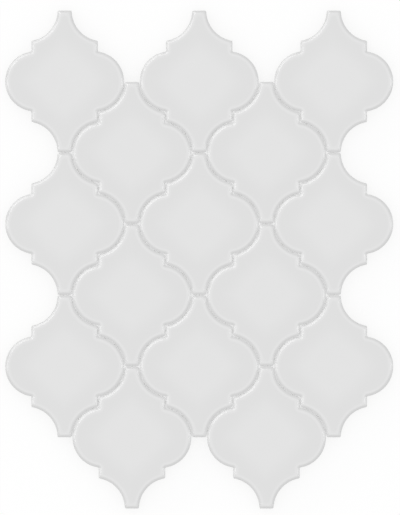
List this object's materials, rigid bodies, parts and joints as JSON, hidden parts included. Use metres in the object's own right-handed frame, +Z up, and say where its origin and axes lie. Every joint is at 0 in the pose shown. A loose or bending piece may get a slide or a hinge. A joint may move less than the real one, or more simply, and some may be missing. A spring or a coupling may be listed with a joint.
{
  "type": "arabesque mosaic tile sheet",
  "caption": "Mosaic sheet of lantern-shaped (arabesque) glazed ceramic tiles laid close together on a backing net, to be set in adhesive on a wall or splashback.",
  "frame": {"origin": "middle of the sheet's underside", "axes": "+Z up out of the glazed faces, +Y along the columns of tiles towards the edge where the outer columns stand proud, +X across the columns"},
  "size_m": [0.245, 0.3144, 0.0084],
  "materials": {
    "glazed_tile": "gloss",
    "backing_net": "matte"
  },
  "bodies": {
    "root": {"lantern_tile_a1": "glazed_tile", "lantern_tile_a2": "glazed_tile", "lantern_tile_a3": "glazed_tile", "lantern_tile_b1": "glazed_tile", "lantern_tile_b2": "glazed_tile", "lantern_tile_b3": "glazed_tile", "lantern_tile_c1": "glazed_tile", "lantern_tile_c2": "glazed_tile", "lantern_tile_c3": "glazed_tile", "lantern_tile_d1": "glazed_tile", "lantern_tile_d2": "glazed_tile", "lantern_tile_d3": "glazed_tile", "lantern_tile_e1": "glazed_tile", "lantern_tile_e2": "glazed_tile", "lantern_tile_e3": "glazed_tile", "backing_net_a": "backing_net", "backing_net_b": "backing_net", "backing_net_c": "backing_net", "backing_net_d": "backing_net", "backing_net_e": "backing_net"}
  },
  "joints": []
}
